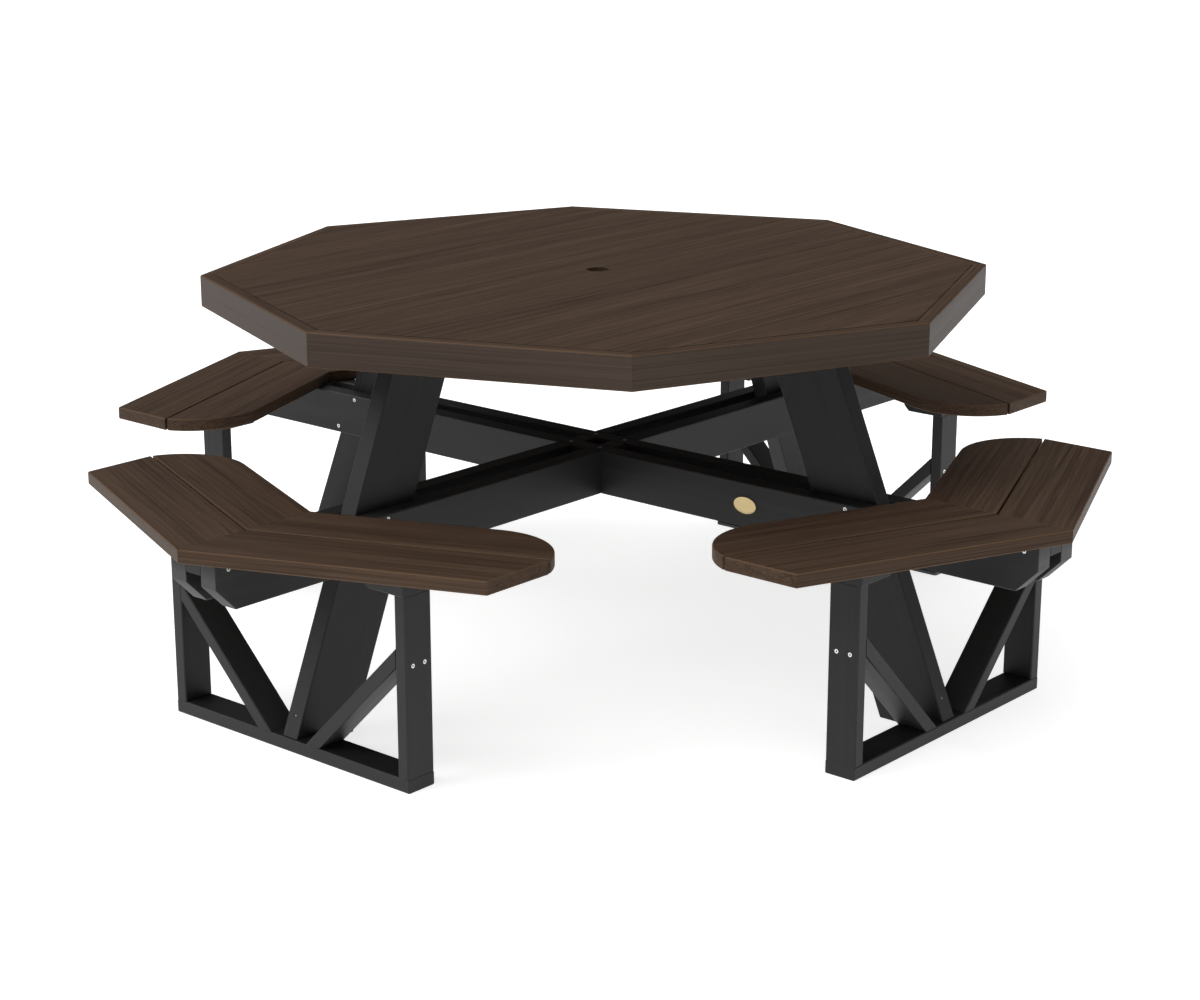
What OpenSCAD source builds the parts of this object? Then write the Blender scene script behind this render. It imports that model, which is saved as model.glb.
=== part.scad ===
// Octagonal picnic table with four attached corner seats, made of recycled-plastic lumber.
// The origin is on the ground at the table's centre, with +Z up. Two beam pairs cross
// under the table, one along X and one along Y, and a seat sits on each of their four ends.

/* [Overall] */
// Height of the table top above the ground
table_h = 762; // [700:1:800]
// Width of the octagonal top from corner to corner, outside the apron
top_w = 1562; // [1400:1:1700]
// Height of the seat tops above the ground
seat_h = 437; // [400:1:480]
// Distance from the table's centre to the outer corner of a seat
seat_reach = 1091; // [1000:1:1200]
// Distance from a seat's centre line to its cut ends
seat_half_w = 518; // [450:1:560]

/* [Lumber] */
// Thickness of the one-inch boards: top, apron, seats and leg frames
board_t = 25.4; // [19:0.1:30]
// Width of the top planks
plank_w = 139.7; // [120:0.1:150]
// Width of the seat boards
seat_board_w = 139.7; // [120:0.1:150]
// Width of the boards in the leg frames
frame_w = 63.5; // [50:0.1:80]
// Depth of the apron round the top
apron_w = 63.5; // [56:0.1:90]
// Radius of the eased long edges
edge_r = 3; // [1:0.5:5]
// Radius of the finer edges between the top planks
plank_edge_r = 1.2; // [0.5:0.1:2]

/* [Top] */
// Diameter of the umbrella hole in the middle plank
pole_d = 44.45; // [35:0.05:52]
// Width of the two battens that hold the planks across the legs
cross_batten_w = 88.9; // [60:0.1:100]
// Width of the battens that clamp the leg tops
batten_w = 38.1; // [30:0.1:50]
// Gap between neighbouring top planks
plank_gap = 0.4; // [0.2:0.1:3]

/* [Seats] */
// Gap between the two boards of a seat
seat_gap = 4; // [2:0.5:10]
// Gap left in mitred and butted joints
joint_gap = 0.4; // [0.2:0.1:1]

/* [Beams] */
// Thickness of a beam
beam_t = 38.1; // [30:0.1:45]
// Depth of a beam
beam_h = 88.9; // [80:0.1:110]
// Distance from a seat's outer corner back to the beam ends
beam_setback = 32; // [20:1:60]
// Length of the end block between a pair of beams
end_block_l = 150; // [100:1:180]
// Length of a strap under a beam
strap_l = 500; // [300:1:520]
// Distance from a rail's outer face back to the strap ends
strap_setback = 9; // [0:1:30]
// Thickness of a strap
strap_t = 6.35; // [3:0.05:8]
// Radius of the rounded corners of a strap
strap_corner_r = 6; // [2:1:12]

/* [Legs] */
// Width of a leg
leg_w = 139.7; // [110:0.1:150]
// Thickness of a leg
leg_t = 38.1; // [30:0.1:45]
// Lean of a leg from upright, in degrees
leg_lean = 22.5; // [15:0.5:25]
// Distance from a rail's outer face back to the leg standing on it
leg_setback = 4; // [0:1:10]
// Height of the upper leg screws below the top of a beam
leg_screw_drop = 9; // [8:1:20]
// Height of the lower leg screws above the bottom of a beam
leg_screw_rise = 14; // [10:1:20]
// Clearance on each face of a leg between its beams and battens
leg_fit = 0.2; // [0.1:0.1:0.5]

/* [Leg frames] */
// Distance from a seat's outer corner back to the rail's outer face
rail_setback = 232; // [200:1:260]
// Half the length of a rail
rail_half_l = 307.5; // [250:0.5:360]
// Distance from a frame's middle to the upper edge of a brace's foot
brace_foot = 45.5; // [30:0.5:80]
// Height of a cleat under a seat
cleat_h = 53; // [40:0.1:60]
// Width of a cleat, which stands a little proud of its upright on both faces
cleat_w = 69.9; // [64:0.1:80]
// Length of a cleat
cleat_l = 98; // [90:1:140]
// Size of the cleat's cut lower corner
cleat_cut = 12.7; // [5:0.1:20]

/* [Fasteners] */
// Diameter of a screw's head
head_d = 8; // [6:0.5:10]
// Height of a screw's tapered head
head_h = 3.2; // [2:0.1:4]
// Diameter of a screw's shank
shank_d = 4.4; // [3:0.1:5]
// Clearance round a screw in its hole
screw_fit = 0.15; // [0.1:0.05:0.3]
// Depth that a screw bites into the second board
bite = 19; // [12:1:22]
// Width of the oval plate
plate_w = 55; // [40:1:70]
// Height of the oval plate
plate_h = 34; // [25:1:40]
// Thickness of the oval plate
plate_t = 1.6; // [1:0.1:3]
// Distance from the table's centre to the oval plate
plate_reach = 419; // [150:1:600]

/* [Hidden] */
$fn = 48;
SIDES = 8;
QUARTERS = 4;
half_side = 180 / SIDES;

// Octagonal top: distances from the centre square to a side
apron_out = top_w / 2 * cos(half_side);
apron_in = apron_out - board_t;
plank_z = table_h - board_t;
plank_pitch = plank_w + plank_gap;
// An odd number of planks, so that the middle one takes the umbrella hole, and enough to fill the octagon
PLANKS = 1 + 2 * ceil((apron_in / cos(half_side) - plank_w / 2) / plank_pitch);
batten_h = apron_w - board_t;
batten_z = plank_z - batten_h;

// Beam pairs
beam_z = seat_h - board_t - beam_h;
beam_top = beam_z + beam_h;
beam_end = seat_reach - beam_setback;
pair_in = leg_t / 2 + leg_fit;
pair_mid = pair_in + beam_t / 2;
pair_out = pair_in + beam_t;
beam_cut = beam_h / 2;
block_start = beam_end - end_block_l;

// Leg frames
rail_out = seat_reach - rail_setback;
rail_in = rail_out - frame_w;
rail_mid = rail_out - frame_w / 2;
upright_in = rail_half_l - board_t;
upright_top = beam_top - cleat_h;
brace_top = board_t + upright_in - brace_foot;
strap_out = rail_out - strap_setback;

// A leg's outer edge leans inwards from its foot on the rail
function leg_edge(z) = rail_out - leg_setback - (z - board_t) * tan(leg_lean);
leg_across = leg_w / cos(leg_lean);
cross_batten_out = leg_edge(plank_z) - leg_across - joint_gap;
cross_batten_mid = cross_batten_out - cross_batten_w / 2;
cheek_start = cross_batten_out + joint_gap;
cheek_end = leg_edge(batten_z);
batten_mid = pair_in + batten_w / 2;

// Middle of a plank, and the stretch of it that lies on a batten reaching half each way from the centre
function plank_x(i) = (i - (PLANKS + 1) / 2) * plank_pitch;
function covered(i, half) = [max(plank_x(i) - plank_w / 2, -half), min(plank_x(i) + plank_w / 2, half)];

// Distance along X from the centre to an octagon's side, on a line y away from the X axis
function octagon_x(y, apothem) = min((apothem - y * sin(half_side)) / cos(half_side),
                                     (apothem - y * cos(half_side)) / sin(half_side));
batten_clear = 6;
long_batten_half = octagon_x(pair_in + batten_w, apron_in) - batten_clear;
cross_batten_half = octagon_x(cross_batten_out, apron_in) - batten_clear;

// Where the screws stand: a margin in from an edge or a narrower end of a board, and a pair across a
// narrow board half a pitch each way from its middle
margin = 25;
edge_margin = 12;
block_margin = 30;
end_margin = 16;
half_pitch = 14.3;
foot_sink = 1;
brace_screw_rise = 6;
leg_screw_top = beam_top - leg_screw_drop;
leg_screw_low = beam_z + leg_screw_rise;
leg_screws = [[leg_edge(leg_screw_top) - 2 * margin, leg_screw_top],
              [leg_edge(leg_screw_low) - margin, leg_screw_low]];
batten_screw_z = batten_z + batten_h / 2;
batten_screw_mid = leg_edge(batten_screw_z) - leg_across / 2;
batten_screws = [[batten_screw_mid - margin, batten_screw_z], [batten_screw_mid + margin, batten_screw_z]];
block_screw_z = beam_top - board_t / 2;
block_screws = [[beam_end - block_margin, block_screw_z], [block_start + block_margin, block_screw_z]];
block_mid = beam_end - end_block_l / 2;
upright_screw_z = brace_top - board_t / sin(45) + brace_screw_rise;
brace_screw_y = brace_foot + board_t / sin(45) / 2;

// Lengths of the screws
beam_screw_l = beam_t + bite;
lap_screw_l = beam_h - bite;
top_screw_l = batten_h + bite;
foot_screw_l = board_t + 2 * bite;
brace_foot_screw_l = board_t + bite / 2;
cleat_top_screw_l = cleat_h + 2 * bite;
cleat_seat_screw_l = cleat_h + bite;
block_seat_screw_l = board_t + bite;
strap_screw_l = strap_t + 2 * bite;
upright_screw_l = board_t + bite;

BROWN = [0.29, 0.24, 0.21];
BLACK = [0.13, 0.13, 0.13];
STEEL = [0.72, 0.72, 0.70];
GOLD = [0.72, 0.62, 0.42];

// ---- Lumber and fasteners ----

// Cross-section of a board: w wide, t thick, standing on the X axis, with eased corners
module section(w, t, r) {
    translate([-w / 2 + r, 0]) square([w - 2 * r, t]);
    translate([-w / 2, r]) square([w, t - 2 * r]);
    for (x = [-w / 2 + r, w / 2 - r])
        for (y = [r, t - r])
            translate([x, y]) circle(r);
}

// The same centred on the origin, for boards that stand up and for flat bars
module centred_section(x_size, y_size, r = edge_r) {
    translate([0, -y_size / 2]) section(x_size, y_size, r);
}

// A board from the origin along +X, w wide along Y and t thick upwards
module lumber(l, w, t, r = edge_r) {
    rotate([90, 0, 90]) linear_extrude(l) section(w, t, r);
}

// A board centred along Y, its section x_size by z_size from the origin
module crosswise(l, x_size, z_size) {
    translate([x_size / 2, l / 2, 0]) rotate([90, 0, 0]) linear_extrude(l) section(x_size, z_size, edge_r);
}

// A countersunk screw that goes in along +Z, with its head flush at z = 0
module screw(l) {
    rotate_extrude() polygon([[0, 0], [head_d / 2, 0], [shank_d / 2, head_h],
                              [shank_d / 2, l - shank_d], [0, l]]);
}

// The drilled and countersunk hole for that screw
module screw_hole(l) {
    rotate_extrude() polygon([[0, -1], [head_d / 2 + screw_fit, -1], [head_d / 2 + screw_fit, 0],
                              [shank_d / 2 + screw_fit, head_h], [shank_d / 2 + screw_fit, l + screw_fit],
                              [0, l + screw_fit]]);
}

module quarter(k) {
    rotate([0, 0, 90 * (k - 1)]) children();
}

// ---- Where the screws go; each place's +Z points into the wood ----

// Through both faces of a beam pair into what stands between them, at [radius, height] places
module at_pair_faces(k, places) {
    quarter(k)
        for (side = [-1, 1])
            for (p = places)
                translate([p.x, side * pair_out, p.y]) rotate([side * 90, 0, 0]) children();
}

// Down through each crossing of two beams
module at_laps() {
    for (x = [-pair_mid, pair_mid])
        for (y = [-pair_mid, pair_mid])
            translate([x, y, beam_top]) rotate([180, 0, 0]) children();
}

// Through the outer face of an upright into the end of its brace
module at_uprights(k) {
    quarter(k)
        for (side = [-1, 1])
            for (dx = [-half_pitch, half_pitch])
                translate([rail_mid + dx, side * rail_half_l, upright_screw_z])
                    rotate([side * 90, 0, 0]) children();
}

// Up through the rail into the uprights
module at_upright_feet(k) {
    quarter(k)
        for (side = [-1, 1])
            for (dx = [-half_pitch, half_pitch])
                translate([rail_mid + dx, side * (rail_half_l - board_t / 2), foot_sink]) children();
}

// Up through the rail into the braces
module at_brace_feet(k) {
    quarter(k)
        for (side = [-1, 1])
            for (dx = [-half_pitch, half_pitch])
                translate([rail_mid + dx, side * brace_screw_y, foot_sink]) children();
}

// Up through the rail into the leg
module at_leg_foot(k) {
    quarter(k)
        for (dx = [-half_pitch, half_pitch])
            translate([rail_mid + dx - leg_setback, 0, foot_sink]) children();
}

// Down through a cleat into the top of its upright
module at_cleat_tops(k) {
    quarter(k)
        for (side = [-1, 1])
            for (dx = [-half_pitch, half_pitch])
                translate([rail_mid + dx, side * (rail_half_l - board_t / 2), beam_top])
                    rotate([180, 0, 0]) children();
}

// Up through a cleat, one screw into the outer seat board and one into the inner
module at_cleat_unders(k) {
    quarter(k)
        for (side = [-1, 1]) {
            translate([rail_out - edge_margin, side * (upright_in - margin), upright_top]) children();
            translate([rail_in + edge_margin, side * (upright_in - 2 * margin), upright_top]) children();
        }
}

// Up through an end block, one screw into each half of the seat
module at_end_blocks(k) {
    quarter(k)
        for (side = [-1, 1])
            translate([block_mid - side * margin, side * leg_t / 4, beam_top - board_t]) children();
}

// Up through two battens at y to each side, into the middle of what they cover of a plank
module at_covered(i, half, y) {
    stretch = covered(i, half);
    if (stretch[1] - stretch[0] > end_margin)
        for (side = [-1, 1])
            translate([(stretch[0] + stretch[1]) / 2, side * y, batten_z]) children();
}

// One screw into each plank that the battens reach
module at_long_battens(i) {
    at_covered(i, long_batten_half, batten_mid) children();
}

module at_cross_battens(i) {
    at_covered(i, cross_batten_half, cross_batten_mid) children();
}

// Up through the cheeks beside the two legs that stand under the middle plank
module at_cheeks() {
    for (end = [-1, 1])
        for (side = [-1, 1])
            for (y = [cheek_start + end_margin, cheek_end - end_margin])
                translate([side * batten_mid, end * y, batten_z]) children();
}

// Up through the straps into the arm of the beam pair that they stiffen
module at_straps() {
    for (side = [-1, 1])
        for (x = [strap_out - margin, strap_out - strap_l / 2, strap_out - strap_l + margin])
            translate([x, side * pair_mid, beam_z - strap_t]) children();
}

// ---- Top ----

module plank(i) {
    x = plank_x(i);
    color(BROWN)
        difference() {
            intersection() {
                translate([x, -top_w / 2, plank_z])
                    rotate([0, 0, 90]) lumber(top_w, plank_w, board_t, plank_edge_r);
                translate([0, 0, plank_z - 1]) linear_extrude(board_t + 2)
                    circle(r = (apron_in - joint_gap) / cos(half_side), $fn = SIDES);
            }
            if (abs(x) < pole_d / 2)
                translate([0, 0, plank_z - 1]) cylinder(d = pole_d, h = board_t + 2);
            at_long_battens(i) screw_hole(top_screw_l);
            at_cross_battens(i) screw_hole(top_screw_l);
            at_cheeks() screw_hole(top_screw_l);
        }
}

// One of the eight mitred apron boards, flush with the planks and deep enough to hide the battens
module apron(i) {
    color(BROWN)
        rotate([0, 0, (i - 0.5) * 360 / SIDES])
            intersection() {
                translate([apron_in, 0, table_h - apron_w]) crosswise(top_w, board_t, apron_w);
                translate([joint_gap / 2 / sin(half_side), 0, table_h - apron_w - 1])
                    linear_extrude(apron_w + 2)
                        polygon([[0, 0], [top_w * cos(half_side), -top_w * sin(half_side)],
                                 [top_w * cos(half_side), top_w * sin(half_side)]]);
            }
}

// The two battens that run along X and clamp the tops of legs 1 and 3; the umbrella hole nicks them
module long_battens() {
    color(BLACK)
        difference() {
            for (side = [-1, 1])
                translate([-long_batten_half, side * batten_mid, batten_z])
                    lumber(2 * long_batten_half, batten_w, batten_h);
            translate([0, 0, batten_z - 1]) cylinder(d = pole_d + 2, h = batten_h + 2);
            for (i = [1:PLANKS]) at_long_battens(i) screw_hole(top_screw_l);
            for (k = [1, 3]) at_pair_faces(k, batten_screws) screw_hole(beam_screw_l);
        }
}

// The two wide battens across the planks, just inside legs 2 and 4
module cross_battens() {
    color(BLACK)
        difference() {
            for (side = [-1, 1])
                translate([-cross_batten_half, side * cross_batten_mid, batten_z])
                    lumber(2 * cross_batten_half, cross_batten_w, batten_h);
            for (i = [1:PLANKS]) at_cross_battens(i) screw_hole(top_screw_l);
        }
}

// Short battens that clamp the tops of legs 2 and 4 under the middle plank
module leg_cheeks() {
    color(BLACK)
        difference() {
            for (end = [-1, 1])
                for (side = [-1, 1])
                    translate([side * batten_mid, end * (cheek_start + cheek_end) / 2, batten_z])
                        translate([-batten_w / 2, 0, 0])
                            crosswise(cheek_end - cheek_start, batten_w, batten_h);
            at_cheeks() screw_hole(top_screw_l);
            for (k = [2, 4]) at_pair_faces(k, batten_screws) screw_hole(beam_screw_l);
        }
}

// ---- Seats ----

// One board of a seat's half, from the mitre outwards, its outer edge set in from the seat's own
module seat_board(inset) {
    translate([seat_reach, 0, seat_h - board_t]) rotate([0, 0, 90 + half_side])
        translate([-seat_half_w / 2, inset + seat_board_w / 2, 0])
            lumber(seat_half_w * 2, seat_board_w, board_t);
}

// Both halves of a pair of seat boards; children cut the half on the +Y side
module seat_halves() {
    for (side = [0, 1])
        mirror([0, side, 0])
            intersection() {
                children();
                translate([0, joint_gap / 2, 0])
                    cube([seat_reach * 2, seat_half_w - joint_gap / 2, seat_h * 2]);
            }
}

module seat_outer_boards(k) {
    color(BROWN)
        difference() {
            quarter(k) seat_halves() seat_board(0);
            at_cleat_unders(k) screw_hole(cleat_seat_screw_l);
            at_end_blocks(k) screw_hole(block_seat_screw_l);
        }
}

// The inner boards end in a quarter circle as wide as the board
module seat_inner_boards(k) {
    inset = seat_board_w + seat_gap;
    // Along the outer edge from its corner to where the cut end of the outer board meets the gap
    arc_end = (seat_half_w + seat_board_w * sin(half_side)) / cos(half_side);
    arc_mid = arc_end - seat_board_w;
    color(BROWN)
        difference() {
            quarter(k) seat_halves()
                intersection() {
                    seat_board(inset);
                    translate([seat_reach, 0, 0]) rotate([0, 0, 90 + half_side])
                        linear_extrude(seat_h * 2) {
                            translate([-seat_half_w, 0])
                                square([arc_mid + seat_half_w, inset + seat_board_w + 1]);
                            translate([arc_mid, inset]) circle(r = seat_board_w, $fn = 96);
                        }
                }
            at_cleat_unders(k) screw_hole(cleat_seat_screw_l);
            at_end_blocks(k) screw_hole(block_seat_screw_l);
        }
}

// Short boards on the uprights that tie the two boards of a seat half together
module seat_cleats() {
    color(BLACK)
        for (k = [1:QUARTERS])
            difference() {
                quarter(k)
                    for (side = [0, 1])
                        mirror([0, side, 0])
                            difference() {
                                translate([rail_mid - cleat_w / 2, rail_half_l - cleat_l / 2, upright_top])
                                    crosswise(cleat_l, cleat_w, cleat_h);
                                translate([rail_mid, rail_half_l - cleat_l, upright_top]) rotate([45, 0, 0])
                                    cube([cleat_w + 2, sqrt(2) * cleat_cut, sqrt(2) * cleat_cut], center = true);
                            }
                at_cleat_tops(k) screw_hole(cleat_top_screw_l);
                at_cleat_unders(k) screw_hole(cleat_seat_screw_l);
            }
}

// ---- Beams and legs ----

// Beams 1 and 2 run along X and are notched from below; 3 and 4 run along Y, notched from above
module beam(k) {
    along_y = k > 2;
    side = k % 2 == 1 ? -1 : 1;
    color(BLACK)
        difference() {
            rotate([0, 0, along_y ? 90 : 0])
                translate([0, side * pair_mid, beam_z])
                    difference() {
                        translate([-beam_end, 0, 0]) lumber(2 * beam_end, beam_t, beam_h);
                        for (end = [-1, 1])
                            translate([end * beam_end, 0, 0]) rotate([0, 45, 0])
                                cube([sqrt(2) * beam_cut, beam_t + 2, sqrt(2) * beam_cut], center = true);
                        for (x = [-pair_mid, pair_mid])
                            translate([x - (beam_t + leg_fit) / 2, -beam_t / 2 - 1, along_y ? beam_h / 2 : -1])
                                cube([beam_t + leg_fit, beam_t + 2, beam_h / 2 + 1]);
                    }
            at_laps() screw_hole(lap_screw_l);
            for (j = along_y ? [2, 4] : [1, 3]) {
                at_pair_faces(j, leg_screws) screw_hole(beam_screw_l);
                at_pair_faces(j, block_screws) screw_hole(beam_screw_l);
            }
            if (!along_y) at_straps() screw_hole(strap_screw_l);
        }
}

// A leaning leg: it stands on the ground behind the rail, laps over the rail and reaches the planks
module leg(k) {
    color(BLACK)
        difference() {
            quarter(k)
                difference() {
                    intersection() {
                        translate([leg_edge(0), 0, 0]) rotate([0, -leg_lean, 0])
                            translate([-leg_w / 2, 0, -leg_w]) linear_extrude(table_h * 2)
                                centred_section(leg_w, leg_t);
                        translate([0, -leg_t, 0]) cube([seat_reach, 2 * leg_t, plank_z]);
                    }
                    translate([rail_in, -leg_t, -1]) cube([frame_w * 2, 2 * leg_t, board_t + 1]);
                }
            at_leg_foot(k) screw_hole(foot_screw_l);
            at_pair_faces(k, leg_screws) screw_hole(beam_screw_l);
            at_pair_faces(k, batten_screws) screw_hole(beam_screw_l);
        }
}

// Blocks under each seat's mitre that join the ends of a beam pair
module end_blocks() {
    color(BLACK)
        for (k = [1:QUARTERS])
            difference() {
                quarter(k)
                    translate([block_start, 0, beam_top - board_t]) lumber(end_block_l, leg_t, board_t);
                at_pair_faces(k, block_screws) screw_hole(beam_screw_l);
                at_end_blocks(k) screw_hole(block_seat_screw_l);
            }
}

// Steel straps that stiffen one arm of the first beam pair where its leg passes
module beam_straps() {
    color(BLACK)
        difference() {
            for (side = [-1, 1])
                translate([strap_out - strap_l / 2, side * pair_mid, beam_z - strap_t])
                    linear_extrude(strap_t) centred_section(strap_l, beam_t, strap_corner_r);
            at_straps() screw_hole(strap_screw_l);
        }
}

// ---- Leg frames ----

module ground_rail(k) {
    color(BLACK)
        difference() {
            quarter(k) translate([rail_in, 0, 0]) crosswise(2 * rail_half_l, frame_w, board_t);
            at_upright_feet(k) screw_hole(foot_screw_l);
            at_brace_feet(k) screw_hole(brace_foot_screw_l);
            at_leg_foot(k) screw_hole(foot_screw_l);
        }
}

module uprights(k) {
    color(BLACK)
        difference() {
            quarter(k)
                for (side = [-1, 1])
                    translate([rail_mid, side * (rail_half_l - board_t / 2), board_t])
                        linear_extrude(upright_top - board_t) centred_section(frame_w, board_t);
            at_upright_feet(k) screw_hole(foot_screw_l);
            at_uprights(k) screw_hole(upright_screw_l);
            at_cleat_tops(k) screw_hole(cleat_top_screw_l);
        }
}

// Braces at 45 degrees from the rail up to the uprights
module braces(k) {
    brace_l = (upright_in - brace_foot) * sqrt(2);
    color(BLACK)
        difference() {
            quarter(k)
                for (side = [0, 1])
                    mirror([0, side, 0])
                        intersection() {
                            translate([rail_mid, brace_foot, board_t]) rotate([-45, 0, 0])
                                translate([0, board_t / 2, -brace_l / 2]) linear_extrude(brace_l * 2)
                                    centred_section(frame_w, board_t);
                            translate([0, 0, board_t]) cube([seat_reach, upright_in, upright_top]);
                        }
            at_brace_feet(k) screw_hole(brace_foot_screw_l);
            at_uprights(k) screw_hole(upright_screw_l);
        }
}

// ---- Fasteners and trim ----

// A plain oval plate on the outer face of beam 1
module oval_plate() {
    color(GOLD)
        translate([plate_reach, -pair_out, beam_z + beam_h / 2]) rotate([90, 0, 0]) linear_extrude(plate_t)
            polygon([for (a = [0:6:354]) [plate_w / 2 * cos(a), plate_h / 2 * sin(a)]]);
}

module beam_screws() {
    color(STEEL) {
        at_laps() screw(lap_screw_l);
        for (k = [1:QUARTERS]) {
            at_pair_faces(k, leg_screws) screw(beam_screw_l);
            at_pair_faces(k, block_screws) screw(beam_screw_l);
        }
    }
}

module frame_screws() {
    color(STEEL)
        for (k = [1:QUARTERS]) {
            at_uprights(k) screw(upright_screw_l);
            at_upright_feet(k) screw(foot_screw_l);
            at_brace_feet(k) screw(brace_foot_screw_l);
            at_leg_foot(k) screw(foot_screw_l);
            at_cleat_tops(k) screw(cleat_top_screw_l);
        }
}

module top_screws() {
    color(STEEL) {
        for (i = [1:PLANKS]) {
            at_long_battens(i) screw(top_screw_l);
            at_cross_battens(i) screw(top_screw_l);
        }
        at_cheeks() screw(top_screw_l);
        for (k = [1:QUARTERS]) at_pair_faces(k, batten_screws) screw(beam_screw_l);
    }
}

module seat_screws() {
    color(STEEL)
        for (k = [1:QUARTERS]) {
            at_cleat_unders(k) screw(cleat_seat_screw_l);
            at_end_blocks(k) screw(block_seat_screw_l);
        }
}

module strap_screws() {
    color(STEEL)
        at_straps() screw(strap_screw_l);
}

for (i = [1:PLANKS]) plank(i);
for (i = [1:SIDES]) apron(i);
long_battens();
cross_battens();
leg_cheeks();
for (k = [1:QUARTERS]) seat_outer_boards(k);
for (k = [1:QUARTERS]) seat_inner_boards(k);
for (k = [1:QUARTERS]) beam(k);
for (k = [1:QUARTERS]) leg(k);
for (k = [1:QUARTERS]) ground_rail(k);
for (k = [1:QUARTERS]) uprights(k);
for (k = [1:QUARTERS]) braces(k);
end_blocks();
seat_cleats();
beam_straps();
oval_plate();
beam_screws();
frame_screws();
top_screws();
seat_screws();
strap_screws();
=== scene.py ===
import math

import bmesh
import bpy
import numpy as np
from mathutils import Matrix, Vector


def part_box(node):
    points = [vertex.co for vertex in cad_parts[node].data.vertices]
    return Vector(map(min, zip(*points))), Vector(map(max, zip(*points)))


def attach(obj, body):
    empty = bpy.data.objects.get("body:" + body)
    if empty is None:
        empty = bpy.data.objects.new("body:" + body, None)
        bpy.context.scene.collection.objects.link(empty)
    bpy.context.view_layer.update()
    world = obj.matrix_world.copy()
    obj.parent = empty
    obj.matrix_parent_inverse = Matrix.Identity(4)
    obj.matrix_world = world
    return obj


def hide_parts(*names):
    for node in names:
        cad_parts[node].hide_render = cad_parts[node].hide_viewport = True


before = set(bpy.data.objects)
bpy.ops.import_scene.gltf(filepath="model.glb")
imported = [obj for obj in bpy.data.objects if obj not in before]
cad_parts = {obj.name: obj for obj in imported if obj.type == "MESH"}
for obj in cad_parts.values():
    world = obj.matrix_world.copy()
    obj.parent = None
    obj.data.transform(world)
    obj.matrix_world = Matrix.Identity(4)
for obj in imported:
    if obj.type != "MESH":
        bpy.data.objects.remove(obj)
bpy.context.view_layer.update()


# ---- The view ----
# The table stands on a pale studio floor under wide soft light, and is seen from a
# standing person's height across the corner between two of its seats.
camera_data = bpy.data.cameras.new("view")
camera_data.lens = 73.375
camera_data.sensor_width = 36
camera = bpy.data.objects.new("view", camera_data)
camera.location = (3.1223, -3.6231, 1.6633)
aim = Vector((0.37385, -0.42811, 0.450)) - camera.location
camera.rotation_euler = aim.to_track_quat("-Z", "Y").to_euler()
bpy.context.scene.collection.objects.link(camera)
bpy.context.scene.camera = camera
bpy.context.scene.view_settings.view_transform = "Standard"

room = bpy.data.worlds.new("studio")
room.use_nodes = True
walls = room.node_tree
direction = walls.nodes.new("ShaderNodeTexCoord")
height = walls.nodes.new("ShaderNodeSeparateXYZ")
ceiling = walls.nodes.new("ShaderNodeMapRange")
ceiling.interpolation_type = "SMOOTHSTEP"
for socket, value in (("From Min", 0.28), ("From Max", 0.80), ("To Min", 0.05), ("To Max", 0.62)):
    ceiling.inputs[socket].default_value = value
window_side = walls.nodes.new("ShaderNodeVectorMath")
window_side.operation = "DOT_PRODUCT"
window_side.inputs[1].default_value = (-0.42, -0.42, 0.0)
daylight = walls.nodes.new("ShaderNodeMath")
daylight.operation = "MULTIPLY_ADD"
seen = walls.nodes.new("ShaderNodeLightPath")
white_when_seen = walls.nodes.new("ShaderNodeMath")
white_when_seen.operation = "MAXIMUM"
for source, target in ((direction.outputs["Generated"], height.inputs[0]),
                       (height.outputs["Z"], ceiling.inputs["Value"]),
                       (direction.outputs["Generated"], window_side.inputs[0]),
                       (ceiling.outputs["Result"], daylight.inputs[0]),
                       (window_side.outputs["Value"], daylight.inputs[1]),
                       (ceiling.outputs["Result"], daylight.inputs[2]),
                       (daylight.outputs[0], white_when_seen.inputs[0]),
                       (seen.outputs["Is Camera Ray"], white_when_seen.inputs[1]),
                       (white_when_seen.outputs[0], walls.nodes["Background"].inputs["Strength"])):
    walls.links.new(source, target)
walls.nodes["Background"].inputs["Color"].default_value = (1.0, 1.0, 1.0, 1)
bpy.context.scene.world = room


def soft_sun(name, azimuth, elevation, strength, spread):
    """Wide soft light from an azimuth (0 is -Y, 90 is +X) and an elevation, in degrees."""
    light = bpy.data.lights.new(name, "SUN")
    light.energy, light.angle = strength, math.radians(spread)
    a, e = math.radians(azimuth), math.radians(elevation)
    lamp = bpy.data.objects.new(name, light)
    lamp.rotation_euler = Vector((math.sin(a) * math.cos(e), -math.cos(a) * math.cos(e), math.sin(e))
                                 ).to_track_quat("Z", "Y").to_euler()
    bpy.context.scene.collection.objects.link(lamp)


soft_sun("overhead", 0, 88, 0.40, 90)
soft_sun("key", -36, 46, 1.30, 45)
soft_sun("fill", 36, 46, 0.55, 80)
soft_sun("back_left", 292, 35, 0.20, 50)
soft_sun("back_right", 150, 35, 0.08, 50)

floor_mesh = bpy.data.meshes.new("floor")
reach = 30
floor_mesh.from_pydata([(-reach, -reach, 0), (reach, -reach, 0), (reach, reach, 0), (-reach, reach, 0)],
                       [], [(0, 1, 2, 3)])
floor_finish = bpy.data.materials.new("studio_floor")
floor_finish.use_nodes = True
floor_shader = floor_finish.node_tree.nodes["Principled BSDF"].inputs
floor_shader["Base Color"].default_value = (0.70, 0.70, 0.70, 1)
floor_shader["Roughness"].default_value = 0.9
floor_shader["Emission Color"].default_value = (1.0, 1.0, 1.0, 1)
floor_shader["Emission Strength"].default_value = 0.72
floor_mesh.materials.append(floor_finish)
floor = bpy.data.objects.new("floor", floor_mesh)
bpy.context.scene.collection.objects.link(floor)


# ---- Leg frames ----
# Four braced frames carry the seats. Each is a rail flat on the ground, two uprights, two
# 45-degree braces and two cleats, cut from one-inch black recycled-plastic lumber.


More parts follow.
